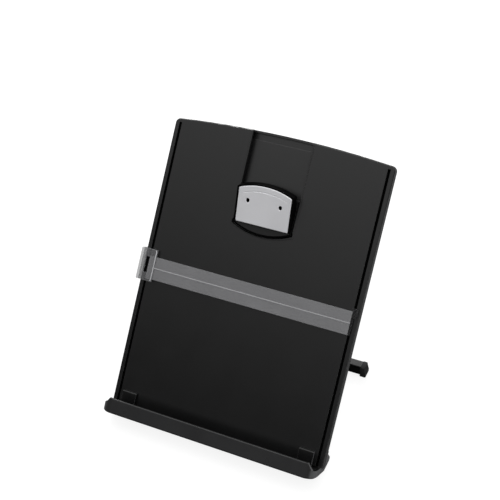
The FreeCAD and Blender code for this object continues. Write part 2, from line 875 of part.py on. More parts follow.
def clip_lever():
    """Pressed lever: a hollow wedge under the plate with pivot walls and a jaw bar."""
    rim_y = lever_rim_drop
    top = plate_side + lever_top_rim
    foot = -lever_foot_rim
    body = arch_prism(lever_half, foot, top, plate_sag, rim_y, lever_depth)
    corners = edges_where(body, lambda p: near(abs(p.x), lever_half) and near(p.z, top))
    along_y = [e for e in corners if not near(e.Vertexes[0].Y, e.Vertexes[1].Y)]
    body = body.makeFillet(lever_corner_r, along_y)
    body = body.makeFillet(lever_edge_r, edges_where(body, lambda p: near(p.y, rim_y)))
    seat = arch_prism(plate_w / 2 + press_gap, foot - 1, plate_side + press_gap, plate_sag, 0, plate_t)
    body = body.cut(seat)
    floor_y = plate_t + lever_skin
    inner_half = lever_half - lever_wall
    inner = arch_prism(inner_half, jaw_h, top - lever_wall, plate_sag, floor_y, lever_depth + 1)
    body = body.cut(inner)
    for side in (-1, 1):
        body = body.cut(plate_hole(side * plate_hole_x, 0, plate_t + hole_sink, hole_margin))
    body = on_clip(body)
    bosses = both_sides(rod_x(pivot_y, pivot_z, lever_boss_r, inner_half, lever_half))
    body = body.fuse(bosses)
    far = 2 * plate_side
    behind = block(-board_half, board_half, base_y - open_gap, far, pivot_z - far, pivot_z + far)
    swung = spin(behind, clip_open, pivot_y, pivot_z)
    body = body.cut([behind, swung])
    jaw_y = base_y - jaw_gap - jaw_pad_t
    jaw_top = plate_bottom_z + jaw_h + jaw_room
    jaw_zone = block(-board_half, board_half, jaw_y, far, jaw_top - far, jaw_top)
    body = body.cut(jaw_zone)
    reach = clip_pin_w / 2 + pivot_gap
    body = body.cut(rod_x(pivot_y, pivot_z, clip_pin_r + pivot_gap, -reach, reach))
    return body.removeSplitter()


def jaw_pad():
    """Rubber lip behind the jaw bar that grips the paper."""
    half = jaw_pad_w / 2
    y1 = base_y - jaw_gap
    z0 = plate_bottom_z + jaw_pad_rise
    return block(-half, half, y1 - jaw_pad_t, y1, z0, z0 + jaw_pad_h)


def clip_spring():
    """Torsion spring on the pivot: a wound body with one leg up and one leg down."""
    half = coil_w / 2
    coil = rod_x(pivot_y, pivot_z, coil_r, -half, half)
    coil = coil.cut(rod_x(pivot_y, pivot_z, coil_bore_r, -half - 1, half + 1))
    wire_r = coil_wire / 2
    mid_r = (coil_r + coil_bore_r) / 2
    down = Part.makeCylinder(wire_r, coil_leg, V(-half + wire_r, pivot_y + mid_r, pivot_z), V(0, 0, -1))
    tilt = math.radians(plate_tilt)
    up_way = V(0, -math.sin(tilt), math.cos(tilt))
    up_from = V(half - wire_r, pivot_y - mid_r * math.cos(tilt), pivot_z - mid_r * math.sin(tilt))
    up = Part.makeCylinder(wire_r, coil_leg, up_from, up_way)
    return coil.fuse([up, down]).removeSplitter()


def guide_strip():
    """Clear strip across the page with a fine reading line."""
    x0 = -(groove_x1 - finger_gap - (groove_w - 2 * finger_gap))
    x1 = groove_x0 + finger_gap
    body = block(x0, x1, strip_y0, strip_y1, guide_z, guide_z + strip_h)
    line_z = guide_z + hairline_z
    line = block(x0 - 1, x1 + 1, strip_y1 - hairline_d, strip_y1 + 1, line_z, line_z + hairline_w)
    return body.cut(line)


def guide_bracket():
    """Clear clip that wraps the left rail: front plate, grip wall, rear hook, groove finger."""
    z0 = guide_z - bracket_drop
    z1 = z0 + bracket_h
    x_out = -board_half - bracket_out
    x_in = -board_half + bracket_lap
    y0 = strip_y0
    y1 = y0 + bracket_front_t
    hook_y0 = board_t + finger_gap + pad_t
    hook_y1 = hook_y0 + bracket_wall
    front = block(x_out, x_in, y0, y1, z0, z1)
    wall = block(x_out, x_out + bracket_wall, y0, hook_y1, z0, z1)
    hook = block(x_out, x_out + hook_reach, hook_y0, hook_y1, z0, z1)
    finger_x0 = -groove_x1 + finger_gap
    finger_x1 = -groove_x0 - finger_gap
    finger = block(finger_x0, finger_x1, y0, groove_d - finger_gap, z0, z1)
    bead = block(x_in - bracket_bead_w, x_in, y0 - bracket_bead, y1, z0, z1)
    body = front.fuse([wall, hook, finger, bead]).removeSplitter()
    ends = edges_where(body, lambda p: near(p.x, x_out))
    along_y = [e for e in ends if near(e.Vertexes[0].Z, e.Vertexes[1].Z)]
    body = body.makeFillet(bracket_corner_r, along_y)
    mid = (z0 + z1) / 2
    window_x = -board_half + window_in
    window = block(window_x, window_x + window_w, y0 - 1, groove_d, mid - window_h / 2, mid + window_h / 2)
    body = body.cut(window)
    strip_seat = block(finger_x1, 0, strip_y0, strip_y1, guide_z, guide_z + strip_h)
    return body.cut(strip_seat)


def guide_pad():
    """Felt pad that drags on the board's back so that the guide stays where it is put."""
    x1 = -board_half - bracket_out + hook_reach
    y0 = board_t + finger_gap
    z0 = guide_z - bracket_drop + pad_margin_z
    z1 = z0 + bracket_h - 2 * pad_margin_z
    return block(-board_half + pad_margin_x, x1 - pad_margin_x, y0, y0 + pad_t, z0, z1)


def guide_glide():
    """Right-hand foot of the strip: a runner in the groove and a tab over the rail."""
    x0 = groove_x0 + finger_gap
    x1 = groove_x1 - finger_gap
    z1 = guide_z + strip_h
    tab_z1 = z1 + glide_tab_up
    runner = block(x0, x1, strip_y0, groove_d - finger_gap, guide_z, tab_z1)
    tab_y1 = strip_y0 + bracket_front_t
    tab = block(x0, x1 + glide_tab_w, strip_y0, tab_y1, tab_z1 - glide_tab_h, tab_z1)
    outer = edges_where(tab, lambda p: near(p.x, x1 + glide_tab_w))
    along_y = [e for e in outer if near(e.Vertexes[0].Z, e.Vertexes[1].Z)]
    tab = tab.makeFillet(glide_tab_r, along_y)
    return runner.fuse(tab).removeSplitter()


def leg_reach():
    """Distance from the hinge pin to the foot bar's middle, so that the pads meet the desk."""
    drop = height_over_desk(pin_y, pin_z) - foot_h / 2 - foot_pad_proud
    return drop / math.cos(math.radians(leg_tilt))


def on_leg(shape):
    """From the leg's frame (pin on the X axis, leg along -Z) to the open leg on the board."""
    return spin(moved(shape, 0, pin_y, pin_z), leg_open, pin_y, pin_z)


def foot_frame(shape):
    """From the foot bar's level frame to the leg's frame."""
    return moved(spin(shape, -leg_tilt), 0, 0, -leg_reach())


def leg_half(z):
    """Half width of the leg at a height in its own frame: straight neck, then a taper."""
    share = max(0.0, -z - leg_neck) / (leg_reach() - leg_neck)
    return leg_top_half + (leg_foot_half - leg_top_half) * share


def leg_ring(z_top, z_low, shrink_out, shrink_in, y0, y1):
    """The leg's tapered outline between two heights, less its window."""
    right = [(leg_half(z) - shrink_out, z) for z in (z_top, -leg_neck, z_low)]
    left = [(-x, z) for x, z in reversed(right)]
    outer = front_prism(right + left, y0, y1)
    top = -leg_bridge + shrink_in
    low = z_low - 1
    inset = leg_arm_w - shrink_in
    window = front_prism([
        (-leg_half(top) + inset, top), (leg_half(top) - inset, top),
        (leg_half(low) - inset, low), (-leg_half(low) + inset, low),
    ], y0 - 1, y1 + 1)
    return outer.cut(window)


def stop_tab():
    """Rib on the barrel that meets the board's back when the leg is fully open."""
    half = stop_t / 2
    room = pin_off - stop_gap
    swing = math.asin(room / math.hypot(stop_reach, half)) - math.atan2(half, stop_reach)
    tab = block(-barrel_half, barrel_half, -half, half, 0, stop_reach)
    gap = block(-barrel_gap_half, barrel_gap_half, -stop_reach, stop_reach, -1, stop_reach + 1)
    return spin(tab.cut(gap), math.degrees(swing) - leg_open)


def leg_frame():
    """Tapered easel leg with hollow-backed arms, a hinge barrel and a wide foot bar."""
    reach = leg_reach()
    z_low = -reach + foot_h / 4
    half_t = leg_t / 2
    body = leg_ring(0, z_low, 0, 0, -half_t, half_t)
    pocket_top = -leg_wall - barrel_r
    pocket = leg_ring(pocket_top, z_low + foot_h / 2, leg_wall, leg_wall, -half_t + leg_web, half_t + 1)
    bridge_floor = block(-leg_foot_half, leg_foot_half, -half_t, half_t, -leg_bridge, -leg_bridge + leg_wall)
    body = body.cut(pocket.cut(bridge_floor))
    barrel = rod_x(0, 0, barrel_r, -barrel_half, barrel_half)
    bar = block(-foot_w / 2, foot_w / 2, -foot_depth / 2, foot_depth / 2, -foot_h / 2, foot_h / 2)
    bar = bar.makeFillet(foot_end_r, [e for e in bar.Edges if near(e.Length, foot_depth)])
    bar = bar.makeFillet(foot_edge_r, edges_where(bar, lambda p: near(p.y, foot_depth / 2)))
    bar = bar.makeFillet(foot_edge_r, edges_where(bar, lambda p: near(p.y, -foot_depth / 2)))
    bar = foot_frame(bar)
    body = body.fuse([barrel, stop_tab(), bar])
    relief = rod_x(0, 0, barrel_r + barrel_relief, -barrel_gap_half, barrel_gap_half)
    body = body.cut(relief)
    body = body.cut(rod_x(0, 0, pin_r + hinge_fit, -board_half, board_half))
    for pad in foot_pad_blocks():
        body = body.cut(pad)
    return on_leg(body.removeSplitter())


def foot_pad_blocks():
    """Spaces of the two rubber pads, in the leg's frame."""
    x1 = foot_w / 2 - foot_pad_inset
    low = -foot_h / 2
    half = foot_depth / 2 - foot_edge_r
    pad = block(x1 - foot_pad_w, x1, -half, half, low - foot_pad_proud, low + foot_pad_seat)
    return [foot_frame(p) for p in both_sides(pad)]


def foot_pads():
    return on_leg(Part.makeCompound(foot_pad_blocks()))


PIECES = {
    "front_panel": front_panel,
    "back_shell": back_shell,
    "slide_track": slide_track,
    "slide_springs": slide_springs,
    "spring_rivets": spring_rivets,
    "track_screws": track_screws,
    "shell_screws": shell_screws,
    "ledge_tray": ledge_tray,
    "ledge_screws": ledge_screws,
    "heel_strip": heel_strip,
    "hinge_pin": hinge_pin,
    "pin_caps": pin_caps,
    "slide_arm": slide_arm,
    "clip_base": clip_base,
    "base_screws": base_screws,
    "clip_pin": clip_pin,
    "clip_lever": clip_lever,
    "clip_plate": clip_plate,
    "jaw_pad": jaw_pad,
    "clip_spring": clip_spring,
    "guide_strip": guide_strip,
    "guide_bracket": guide_bracket,
    "guide_glide": guide_glide,
    "guide_pad": guide_pad,
    "leg_frame": leg_frame,
    "foot_pads": foot_pads,
}

os.makedirs("parts", exist_ok=True)
for node, make in PIECES.items():
    on_desk(make()).exportStep("parts/" + node + ".step")
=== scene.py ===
import math
import bmesh
import bpy
from mathutils import Matrix, Vector


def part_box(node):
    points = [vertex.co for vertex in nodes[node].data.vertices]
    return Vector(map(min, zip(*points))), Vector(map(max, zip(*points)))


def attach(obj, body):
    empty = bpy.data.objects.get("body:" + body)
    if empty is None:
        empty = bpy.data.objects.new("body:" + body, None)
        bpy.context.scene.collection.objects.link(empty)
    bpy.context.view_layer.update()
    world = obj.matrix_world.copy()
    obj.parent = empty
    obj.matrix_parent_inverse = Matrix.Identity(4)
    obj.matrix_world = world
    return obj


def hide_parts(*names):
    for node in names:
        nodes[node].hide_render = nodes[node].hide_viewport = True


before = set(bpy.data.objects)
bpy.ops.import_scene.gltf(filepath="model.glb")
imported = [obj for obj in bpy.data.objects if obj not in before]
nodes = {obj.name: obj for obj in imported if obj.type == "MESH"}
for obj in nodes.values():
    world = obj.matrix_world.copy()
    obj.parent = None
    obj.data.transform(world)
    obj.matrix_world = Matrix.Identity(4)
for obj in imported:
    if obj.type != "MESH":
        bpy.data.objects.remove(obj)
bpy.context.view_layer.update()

MM = 0.001

# The board's own frame leans back on the desk: X right, Y into the board, Z up the board
LEAN = math.radians(34.6)
BOARD_ORIGIN = Vector((0.0, -16.351, 12.611)) * MM
BOARD_TURN = Matrix.Rotation(-LEAN, 3, "X")
INTO_BOARD = BOARD_TURN @ Vector((0.0, 1.0, 0.0))


def board(x, y, z):
    """A point of the board's own frame, in mm, as a point of the scene, in metres."""
    return BOARD_ORIGIN + BOARD_TURN @ Vector((x, y, z)) * MM


# Material parts

BLUE_SHARE = 1.03
NOISE_LOW, NOISE_HIGH = 0.3, 0.7
DRIFT_DETAIL = 3.0
GRAIN_DETAIL, GRAIN_ROUGH = 2.0, 0.6
BEVEL_SAMPLES = 4
EDGE_FLAT, EDGE_TURNED = 0.995, 0.85


def grey(level):
    """A barely blue grey."""
    return (level, level, level * BLUE_SHARE)


def new_material(name):
    mat = bpy.data.materials.new(name)
    mat.use_nodes = True
    tree = mat.node_tree
    return mat, tree, tree.nodes["Principled BSDF"]


def noise(tree, place, scale, detail, rough=0.5):
    """A noise texture at a place socket. Scale is in features to the metre."""
    tex = tree.nodes.new("ShaderNodeTexNoise")
    tex.inputs["Scale"].default_value = scale
    tex.inputs["Detail"].default_value = detail
    tex.inputs["Roughness"].default_value = rough
    tree.links.new(place, tex.inputs["Vector"])
    return tex.outputs["Fac"]


def mapped(tree, value, start, stop, low, high, smooth=False):
    """Maps a value from the span start to stop to the span low to high."""
    span = tree.nodes.new("ShaderNodeMapRange")
    if smooth:
        span.interpolation_type = "SMOOTHSTEP"
    span.inputs["From Min"].default_value = start
    span.inputs["From Max"].default_value = stop
    span.inputs["To Min"].default_value = low
    span.inputs["To Max"].default_value = high
    tree.links.new(value, span.inputs["Value"])
    return span.outputs["Result"]


def spread(tree, value, low, high):
    """Maps the middle of a noise to the span low to high."""
    return mapped(tree, value, NOISE_LOW, NOISE_HIGH, low, high)


def step(tree, value, start, stop):
    """A smooth step from 0 at start to 1 at stop."""
    return mapped(tree, value, start, stop, 0.0, 1.0, smooth=True)


def mixed(tree, factor, under, over):
    """One colour over another. Each is a socket or a plain colour."""
    mix = tree.nodes.new("ShaderNodeMix")
    mix.data_type = "RGBA"
    tree.links.new(factor, mix.inputs["Factor"])
    for socket, colour in (("A", under), ("B", over)):
        if isinstance(colour, tuple):
            mix.inputs[socket].default_value = (*colour, 1.0)
        else:
            tree.links.new(colour, mix.inputs[socket])
    return mix.outputs["Result"]


def combined(tree, operation, first, second):
    """A maths node over two value sockets."""
    node = tree.nodes.new("ShaderNodeMath")
    node.operation = operation
    tree.links.new(first, node.inputs[0])
    tree.links.new(second, node.inputs[1])
    return node.outputs["Value"]


def dotted(tree, first, second):
    """The dot product of a vector socket with another socket or a plain vector."""
    node = tree.nodes.new("ShaderNodeVectorMath")
    node.operation = "DOT_PRODUCT"
    tree.links.new(first, node.inputs[0])
    if isinstance(second, Vector):
        node.inputs[1].default_value = second
    else:
        tree.links.new(second, node.inputs[1])
    return node.outputs["Value"]


def split(tree, vector):
    """The X, Y and Z outputs of a vector socket."""
    axes = tree.nodes.new("ShaderNodeSeparateXYZ")
    tree.links.new(vector, axes.inputs["Vector"])
    return axes.outputs


def edge_mask(tree, soft):
    """Where a softened edge turns the surface away from its flat faces, from 0 to 1."""
    flat = tree.nodes.new("ShaderNodeNewGeometry").outputs["Normal"]
    return mapped(tree, dotted(tree, flat, soft), EDGE_FLAT, EDGE_TURNED, 0.0, 1.0)


def moulded(name, shades, rough, grain, edge,
            specular=0.5, drift=30.0, edge_highlight=None, sockets=None):
    """A material with a fine grain, a slow drift of shade and gloss, and softened edges.

    Shades and rough are spans, grain is features to the metre and their depth in mm, edge
    is the radius of the softened edges in mm, and edge_highlight is the lighter shade painted
    on those edges as a painted highlight.
    """
    mat, tree, shader = new_material(name)
    place = tree.nodes.new("ShaderNodeTexCoord").outputs["Object"]
    slow = noise(tree, place, drift, DRIFT_DETAIL)
    soft = tree.nodes.new("ShaderNodeBevel")
    soft.samples = BEVEL_SAMPLES
    soft.inputs["Radius"].default_value = edge * MM
    colour = mixed(tree, spread(tree, slow, 0.0, 1.0), grey(shades[0]), grey(shades[1]))
    if edge_highlight:
        # Painted highlight: the softened edges are drawn in a lighter shade for the light they
        # catch
        colour = mixed(tree, edge_mask(tree, soft.outputs["Normal"]), colour, grey(edge_highlight))
    tree.links.new(colour, shader.inputs["Base Color"])
    tree.links.new(spread(tree, slow, *rough), shader.inputs["Roughness"])
    shader.inputs["Specular IOR Level"].default_value = specular
    for socket, value in (sockets or {}).items():
        shader.inputs[socket].default_value = value
    bump = tree.nodes.new("ShaderNodeBump")
    bump.inputs["Strength"].default_value = 1.0
    bump.inputs["Distance"].default_value = grain[1] * MM
    height = noise(tree, place, grain[0], GRAIN_DETAIL, GRAIN_ROUGH)
    tree.links.new(height, bump.inputs["Height"])
    tree.links.new(soft.outputs["Normal"], bump.inputs["Normal"])
    tree.links.new(bump.outputs["Normal"], shader.inputs["Normal"])
    return mat


# Materials

panel_black = moulded(
    "panel_black", shades=(0.003, 0.0036), rough=(0.275, 0.305), grain=(1500.0, 0.02),
    edge=0.55, specular=0.38, edge_highlight=0.02)
trim_black = moulded(
    "trim_black", shades=(0.004, 0.0055), rough=(0.3, 0.38), grain=(1800.0, 0.012),
    edge=0.7, specular=0.4, edge_highlight=0.03)
ledge_black = moulded(
    "ledge_black", shades=(0.0025, 0.0035), rough=(0.26, 0.32), grain=(1800.0, 0.012),
    edge=0.9, specular=0.28, edge_highlight=0.05)
leg_black = moulded(
    "leg_black", shades=(0.001, 0.0015), rough=(0.28, 0.36), grain=(1800.0, 0.012),
    edge=0.9, specular=0.14, edge_highlight=0.02)
base_black = moulded(
    "base_black", shades=(0.003, 0.0045), rough=(0.34, 0.4), grain=(1800.0, 0.012),
    edge=0.5, specular=0.25, drift=60.0, edge_highlight=0.012)
lever_black = moulded(
    "lever_black", shades=(0.0008, 0.0014), rough=(0.45, 0.55), grain=(2200.0, 0.008),
    edge=0.4, specular=0.03, drift=60.0, edge_highlight=0.004)
# Painted shade: a dead black for the dark sheets laid where shade falls in gaps, grooves and
# behind the grip's window
painted_shade_black = moulded(
    "painted_shade_black", shades=(0.0008, 0.0014), rough=(0.8, 0.9), grain=(2200.0, 0.01),
    edge=0.05, specular=0.02)
silver = moulded(
    "silver_plastic", shades=(0.68, 0.72), rough=(0.3, 0.38), grain=(3500.0, 0.004),
    edge=1.1, edge_highlight=0.9, sockets={"Metallic": 0.15})
rubber = moulded(
    "rubber", shades=(0.010, 0.016), rough=(0.75, 0.9), grain=(900.0, 0.05),
    edge=0.2, specular=0.3)
felt = moulded(
    "felt", shades=(0.03, 0.06), rough=(0.9, 1.0), grain=(4000.0, 0.12),
    edge=0.2, specular=0.2, sockets={"Sheen Weight": 0.4})
steel = moulded(
    "steel", shades=(0.5, 0.6), rough=(0.22, 0.34), grain=(2500.0, 0.004),
    edge=0.1, sockets={"Metallic": 1.0})
clear = moulded(
    "clear_plastic", shades=(0.24, 0.27), rough=(0.18, 0.24), grain=(260.0, 0.005),
    edge=0.4, sockets={"Alpha": 0.46})
grip_clear = moulded(
    "grip_clear", shades=(0.13, 0.17), rough=(0.14, 0.22), grain=(400.0, 0.006),
    edge=0.5, edge_highlight=0.75, sockets={"Alpha": 0.42})
glide_smoke = moulded(
    "glide_smoke", shades=(0.01, 0.015), rough=(0.14, 0.22), grain=(900.0, 0.006),
    edge=0.4, specular=0.4, edge_highlight=0.22, sockets={"Alpha": 0.5})
# Painted highlight: a pale clear for the bead down the grip's inner edge
bead_painted_highlight = moulded(
    "bead_painted_highlight", shades=(0.5, 0.6), rough=(0.2, 0.3), grain=(900.0, 0.004),
    edge=0.2, sockets={"Alpha": 0.75})
line_white = moulded(
    "line_white", shades=(0.3, 0.36), rough=(0.4, 0.5), grain=(3000.0, 0.003),
    edge=0.05, specular=0.3)

# The ledge's outer wall: where it starts, in mm in front of the board and to each side
OUTER_FRONT, OUTER_SIDE, OUTER_FADE = 12.0, 105.0, 1.0
# Painted light: the lip's outer face gets these paler shades, and the end walls that face the
# sides a painted highlight
LIP_PAINTED_LIGHT, OUTER_DRIFT = (0.017, 0.022), 24.0
END_PAINTED_HIGHLIGHT = 0.105
FACES_FRONT = (0.15, 0.4)
FACES_SIDE = (0.5, 0.95)


def paint_ledge_light(mat):
    """Paints the ledge's outer wall paler than its inside as painted light, and its end walls
    that face the sides paler still as a painted highlight.
    """
    tree = mat.node_tree
    shader = tree.nodes["Principled BSDF"]
    inside = shader.inputs["Base Color"].links[0].from_socket
    place = tree.nodes.new("ShaderNodeTexCoord").outputs["Object"]
    normal = tree.nodes.new("ShaderNodeNewGeometry").outputs["Normal"]
    side = split(tree, place)["X"]
    way = split(tree, normal)["X"]

    front = BOARD_ORIGIN.dot(INTO_BOARD) - OUTER_FRONT * MM
    in_front = step(tree, dotted(tree, place, INTO_BOARD), front, front - OUTER_FADE * MM)
    lip = combined(
        tree, "MULTIPLY", in_front, step(tree, dotted(tree, normal, -INTO_BOARD), *FACES_FRONT))

    def end_wall(sign):
        start, stop = sign * OUTER_SIDE * MM, sign * (OUTER_SIDE + OUTER_FADE) * MM
        facing = step(tree, way, *(sign * limit for limit in FACES_SIDE))
        return combined(tree, "MULTIPLY", step(tree, side, start, stop), facing)

    ends = combined(tree, "MAXIMUM", end_wall(1), end_wall(-1))
    # Painted light on the lip's outer face, painted highlight on the end walls
    drift = spread(tree, noise(tree, place, OUTER_DRIFT, DRIFT_DETAIL), 0.0, 1.0)
    pale = mixed(tree, drift, grey(LIP_PAINTED_LIGHT[0]), grey(LIP_PAINTED_LIGHT[1]))
    colour = mixed(tree, ends, mixed(tree, lip, inside, pale), grey(END_PAINTED_HIGHLIGHT))
    tree.links.new(colour, shader.inputs["Base Color"])


paint_ledge_light(ledge_black)

FINISH = {
    "front_panel": panel_black,
    "back_shell": trim_black,
    "slide_track": trim_black,
    "ledge_tray": ledge_black,
    "slide_arm": panel_black,
    "clip_base": base_black,
    "clip_lever": lever_black,
    "leg_frame": leg_black,
    "pin_caps": trim_black,
    "clip_plate": silver,
    "guide_strip": clear,
    "guide_bracket": grip_clear,
    "guide_glide": glide_smoke,
    "guide_pad": felt,
    "jaw_pad": rubber,
    "heel_strip": rubber,
    "foot_pads": rubber,
}

# The nodes that aren't named above are steel
for name, node in nodes.items():
    node.data.materials.clear()
    node.data.materials.append(FINISH.get(name, steel))


# Mesh helpers

SLOTS = {
    "steel": steel,
    "rubber": rubber,
    "clear_plastic": line_white,
    "black_plastic": painted_shade_black,
}
SHARP_ANGLE = math.radians(35)


def piece(name, points, faces, body, slot, *stands_for, finish=None):
    """A mesh piece of the object, given in scene metres."""
    mesh = bpy.data.meshes.new(name)
    mesh.from_pydata([tuple(p) for p in points], [], faces)
    mesh.materials.append(finish or SLOTS[slot])
    mesh.validate()
    work = bmesh.new()
    work.from_mesh(mesh)
    bmesh.ops.recalc_face_normals(work, faces=work.faces)
    work.to_mesh(mesh)
    work.free()
    for face in mesh.polygons:
        face.use_smooth = True
    mesh.set_sharp_from_angle(angle=SHARP_ANGLE)
    obj = bpy.data.objects.new(name, mesh)
    bpy.context.scene.collection.objects.link(obj)
    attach(obj, body)
    if stands_for:
        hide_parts(*stands_for)


def skinned(rings, place=Vector):
    """Points and faces of stacked rings of equal count, closed at both ends."""
    count = len(rings[0])
    points = [place(p) for ring in rings for p in ring]
    faces = []
    for low in range(len(rings) - 1):
        for k in range(count):
            a = low * count + k
            b = low * count + (k + 1) % count
            faces.append((a, b, b + count, a + count))
    faces.append(tuple(range(count)))
    faces.append(tuple(range(len(points) - count, len(points))))
    return points, faces


def on_board(point):
    return board(*point)


def together(parts):
    """Joins lists of points and faces into one mesh's lists."""
    points, faces = [], []
    for some_points, some_faces in parts:
        start = len(points)
        points += some_points
        faces += [tuple(start + k for k in face) for face in some_faces]
    return points, faces


def bar(x_span, y_span, z_span):
    """A square bar in the board's frame."""
    (y0, y1), (z0, z1) = y_span, z_span
    ends = [[(x, y0, z0), (x, y1, z0), (x, y1, z1), (x, y0, z1)] for x in x_span]
    return skinned(ends, on_board)


def tube(path, radius, sides):
    """A round wire along a path of board points."""
    spots = [board(*p) for p in path]
    side_way = Vector((1.0, 0.0, 0.0))
    rings = []
    for k, spot in enumerate(spots):
        ahead = (spots[min(k + 1, len(spots) - 1)] - spots[max(k - 1, 0)]).normalized()
        side_way = (side_way - ahead * side_way.dot(ahead)).normalized()
        other = ahead.cross(side_way)
        rings.append([
            spot + (side_way * math.cos(t) + other * math.sin(t)) * radius * MM
            for t in (2 * math.pi * n / sides for n in range(sides))])
    return skinned(rings)


def ribbed(low, high, ribs, depth):
    """A pad between two corners whose underside has ribs along X."""
    pitch = (high[1] - low[1]) / (2 * ribs - 1)
    under = []
    for k in range(2 * ribs - 1):
        level = low[2] if k % 2 == 0 else low[2] + depth * MM
        under += [(low[1] + pitch * k, level), (low[1] + pitch * (k + 1), level)]
    section = under + [(high[1], high[2]), (low[1], high[2])]
    return skinned([[(x, y, z) for y, z in section] for x in (low[0], high[0])])


# Screws. The cross recess is given in shares of the head's radius

CROSS_HALF_W = 0.16
CROSS_HALF_L = 0.62
CROSS_EDGE = 0.06
CROSS_END_SHARE = 0.5
SCREW_SIDES = 48
HEAD_SHARES = (
    0.0, 0.06, 0.12, 0.18, 0.24, 0.3, 0.38, 0.46, 0.54, 0.62, 0.7, 0.8, 0.9, 0.96, 1.0)
HEAD_CORE_R = 1e-4
DOME_POWER = 2.5
HEAD_SIDE_SHARE = 0.8


def cross_depth(u, v):
    """How far into the cross recess a point of the head lies, from 0 to 1."""
    def arm(p, q):
        across = min(1.0, max(0.0, (CROSS_HALF_W - abs(p)) / CROSS_EDGE))
        along = min(1.0, max(0.0, (CROSS_HALF_L - abs(q)) / CROSS_EDGE))
        return across * along * (1.0 - CROSS_END_SHARE * abs(q) / CROSS_HALF_L)
    return max(arm(u, v), arm(v, u))


def screw(x, y, z, way, length, turn, head_r, head_h, rise, shank_r, recess):
    """A cross-recess screw. The head's top is at y, its shank runs towards way."""
    circle = [
        (math.cos(t), math.sin(t))
        for t in (2 * math.pi * k / SCREW_SIDES for k in range(SCREW_SIDES))]
    rings = []
    for share in HEAD_SHARES:
        radius = share * head_r + HEAD_CORE_R
        dome = rise * share ** DOME_POWER
        rings.append([
            (radius * c, radius * s, dome + recess * cross_depth(share * c, share * s))
            for c, s in circle])
    side_deep = max(head_h * HEAD_SIDE_SHARE, rise)
    for radius, deep in ((head_r, side_deep), (shank_r, head_h), (shank_r, length)):
        rings.append([(radius * c, radius * s, deep) for c, s in circle])

    def place(point):
        u, v, deep = point
        c, s = math.cos(turn), math.sin(turn)
        return board(x + c * u - s * v, y + way * deep, z + s * u + c * v)
    return skinned(rings, place)


PAN_HEAD = {"head_r": 2.7, "head_h": 1.8, "rise": 0.6, "shank_r": 1.2, "recess": 1.0}
FLAT_HEAD = {"head_r": 2.4, "head_h": 1.4, "rise": 0.0, "shank_r": 1.2, "recess": 0.9}
INWARD, OUTWARD = 1, -1
TURN_STEP = 0.7

# Pan-head screws that join the shells, seen from behind
SHELL_SCREW_X, SHELL_SCREW_ZS = 98.0, (34.0, 152.0, 282.0)
SHELL_SCREW_TOP, SHELL_SCREW_LEN = 11.6, 10.0
shell_screws = [
    screw(side * SHELL_SCREW_X, SHELL_SCREW_TOP, z, OUTWARD, SHELL_SCREW_LEN,
          TURN_STEP * (row * 2 + side), **PAN_HEAD)
    for side in (-1, 1) for row, z in enumerate(SHELL_SCREW_ZS)]
piece("shell_screw_set", *together(shell_screws), "stand", "steel", "shell_screws")

# Pan-head screws of the ledge
LEDGE_SCREW_XS, LEDGE_SCREW_Z = (-84.0, -28.0, 28.0, 84.0), 9.0
LEDGE_SCREW_TOP, LEDGE_SCREW_LEN = 16.7, 10.8
LEDGE_SCREW_TURN = 0.4
ledge_screws = [
    screw(x, LEDGE_SCREW_TOP, LEDGE_SCREW_Z, OUTWARD, LEDGE_SCREW_LEN,
          LEDGE_SCREW_TURN + TURN_STEP * row, **PAN_HEAD)
    for row, x in enumerate(LEDGE_SCREW_XS)]
piece("ledge_screw_set", *together(ledge_screws), "stand", "steel", "ledge_screws")

# Flat-head screws that hold the clip's base to its arm
BASE_SCREW_X, BASE_SCREW_Z, BASE_SCREW_PITCH = 20.0, 228.8, 19.0
BASE_SCREW_TOP, BASE_SCREW_LEN = -0.4, 6.0
BASE_SCREW_TURN = 0.3
base_screws = [
    screw(side * BASE_SCREW_X, BASE_SCREW_TOP, BASE_SCREW_Z + BASE_SCREW_PITCH * row, INWARD,
          BASE_SCREW_LEN, BASE_SCREW_TURN + TURN_STEP * row, **FLAT_HEAD)
    for side in (-1, 1) for row in (0, 1)]
piece("base_screw_set", *together(base_screws), "clip_arm", "steel", "base_screws")


# Wound torsion spring on the clip's pin
PIN_Y, PIN_Z = -3.8, 238.0
WIRE_R, WIRE_SIDES = 0.3, 8
COIL_R = 1.8
COIL_HALF = 9.7
COIL_TURNS = 28
COIL_SIDES = 16
COIL_LEG = 9.0
LOWER_LEG_STEPS = 4
UPPER_LEG_SHARES = (0.0, 0.1, 0.3, 0.6, 1.0)
PLATE_TILT = math.radians(17.6)


def spring_path():
    """The lower leg down the base, the coil, and the upper leg up the tilted lever."""
    steps = COIL_TURNS * COIL_SIDES + COIL_SIDES // 4
    path = [
        (-COIL_HALF, PIN_Y + COIL_R, PIN_Z - COIL_LEG * (1 - k / LOWER_LEG_STEPS))
        for k in range(LOWER_LEG_STEPS)]
    for k in range(steps + 1):
        t = 2 * math.pi * k / COIL_SIDES
        x = -COIL_HALF + 2 * COIL_HALF * k / steps
        path.append((x, PIN_Y + COIL_R * math.cos(t), PIN_Z + COIL_R * math.sin(t)))
    lean_y = COIL_R * math.cos(PLATE_TILT)
    start = (COIL_R + COIL_R * math.sin(PLATE_TILT)) / math.cos(PLATE_TILT)
    for share in UPPER_LEG_SHARES:
        run = start + share * (COIL_LEG - start)
        y = PIN_Y - lean_y - run * math.sin(PLATE_TILT)
        z = PIN_Z - COIL_R * math.sin(PLATE_TILT) + run * math.cos(PLATE_TILT)
        path.append((COIL_HALF, y, z))
    return path


coil = tube(spring_path(), WIRE_R, WIRE_SIDES)
piece("clip_coil", *coil, "clip_lever", "steel", "clip_spring")


# Ribbed rubber under the heel and the foot bar
HEEL_RIBS, FOOT_RIBS = 7, 6
RIB_DEPTH = 0.5
PAD_W = 16.0 * MM

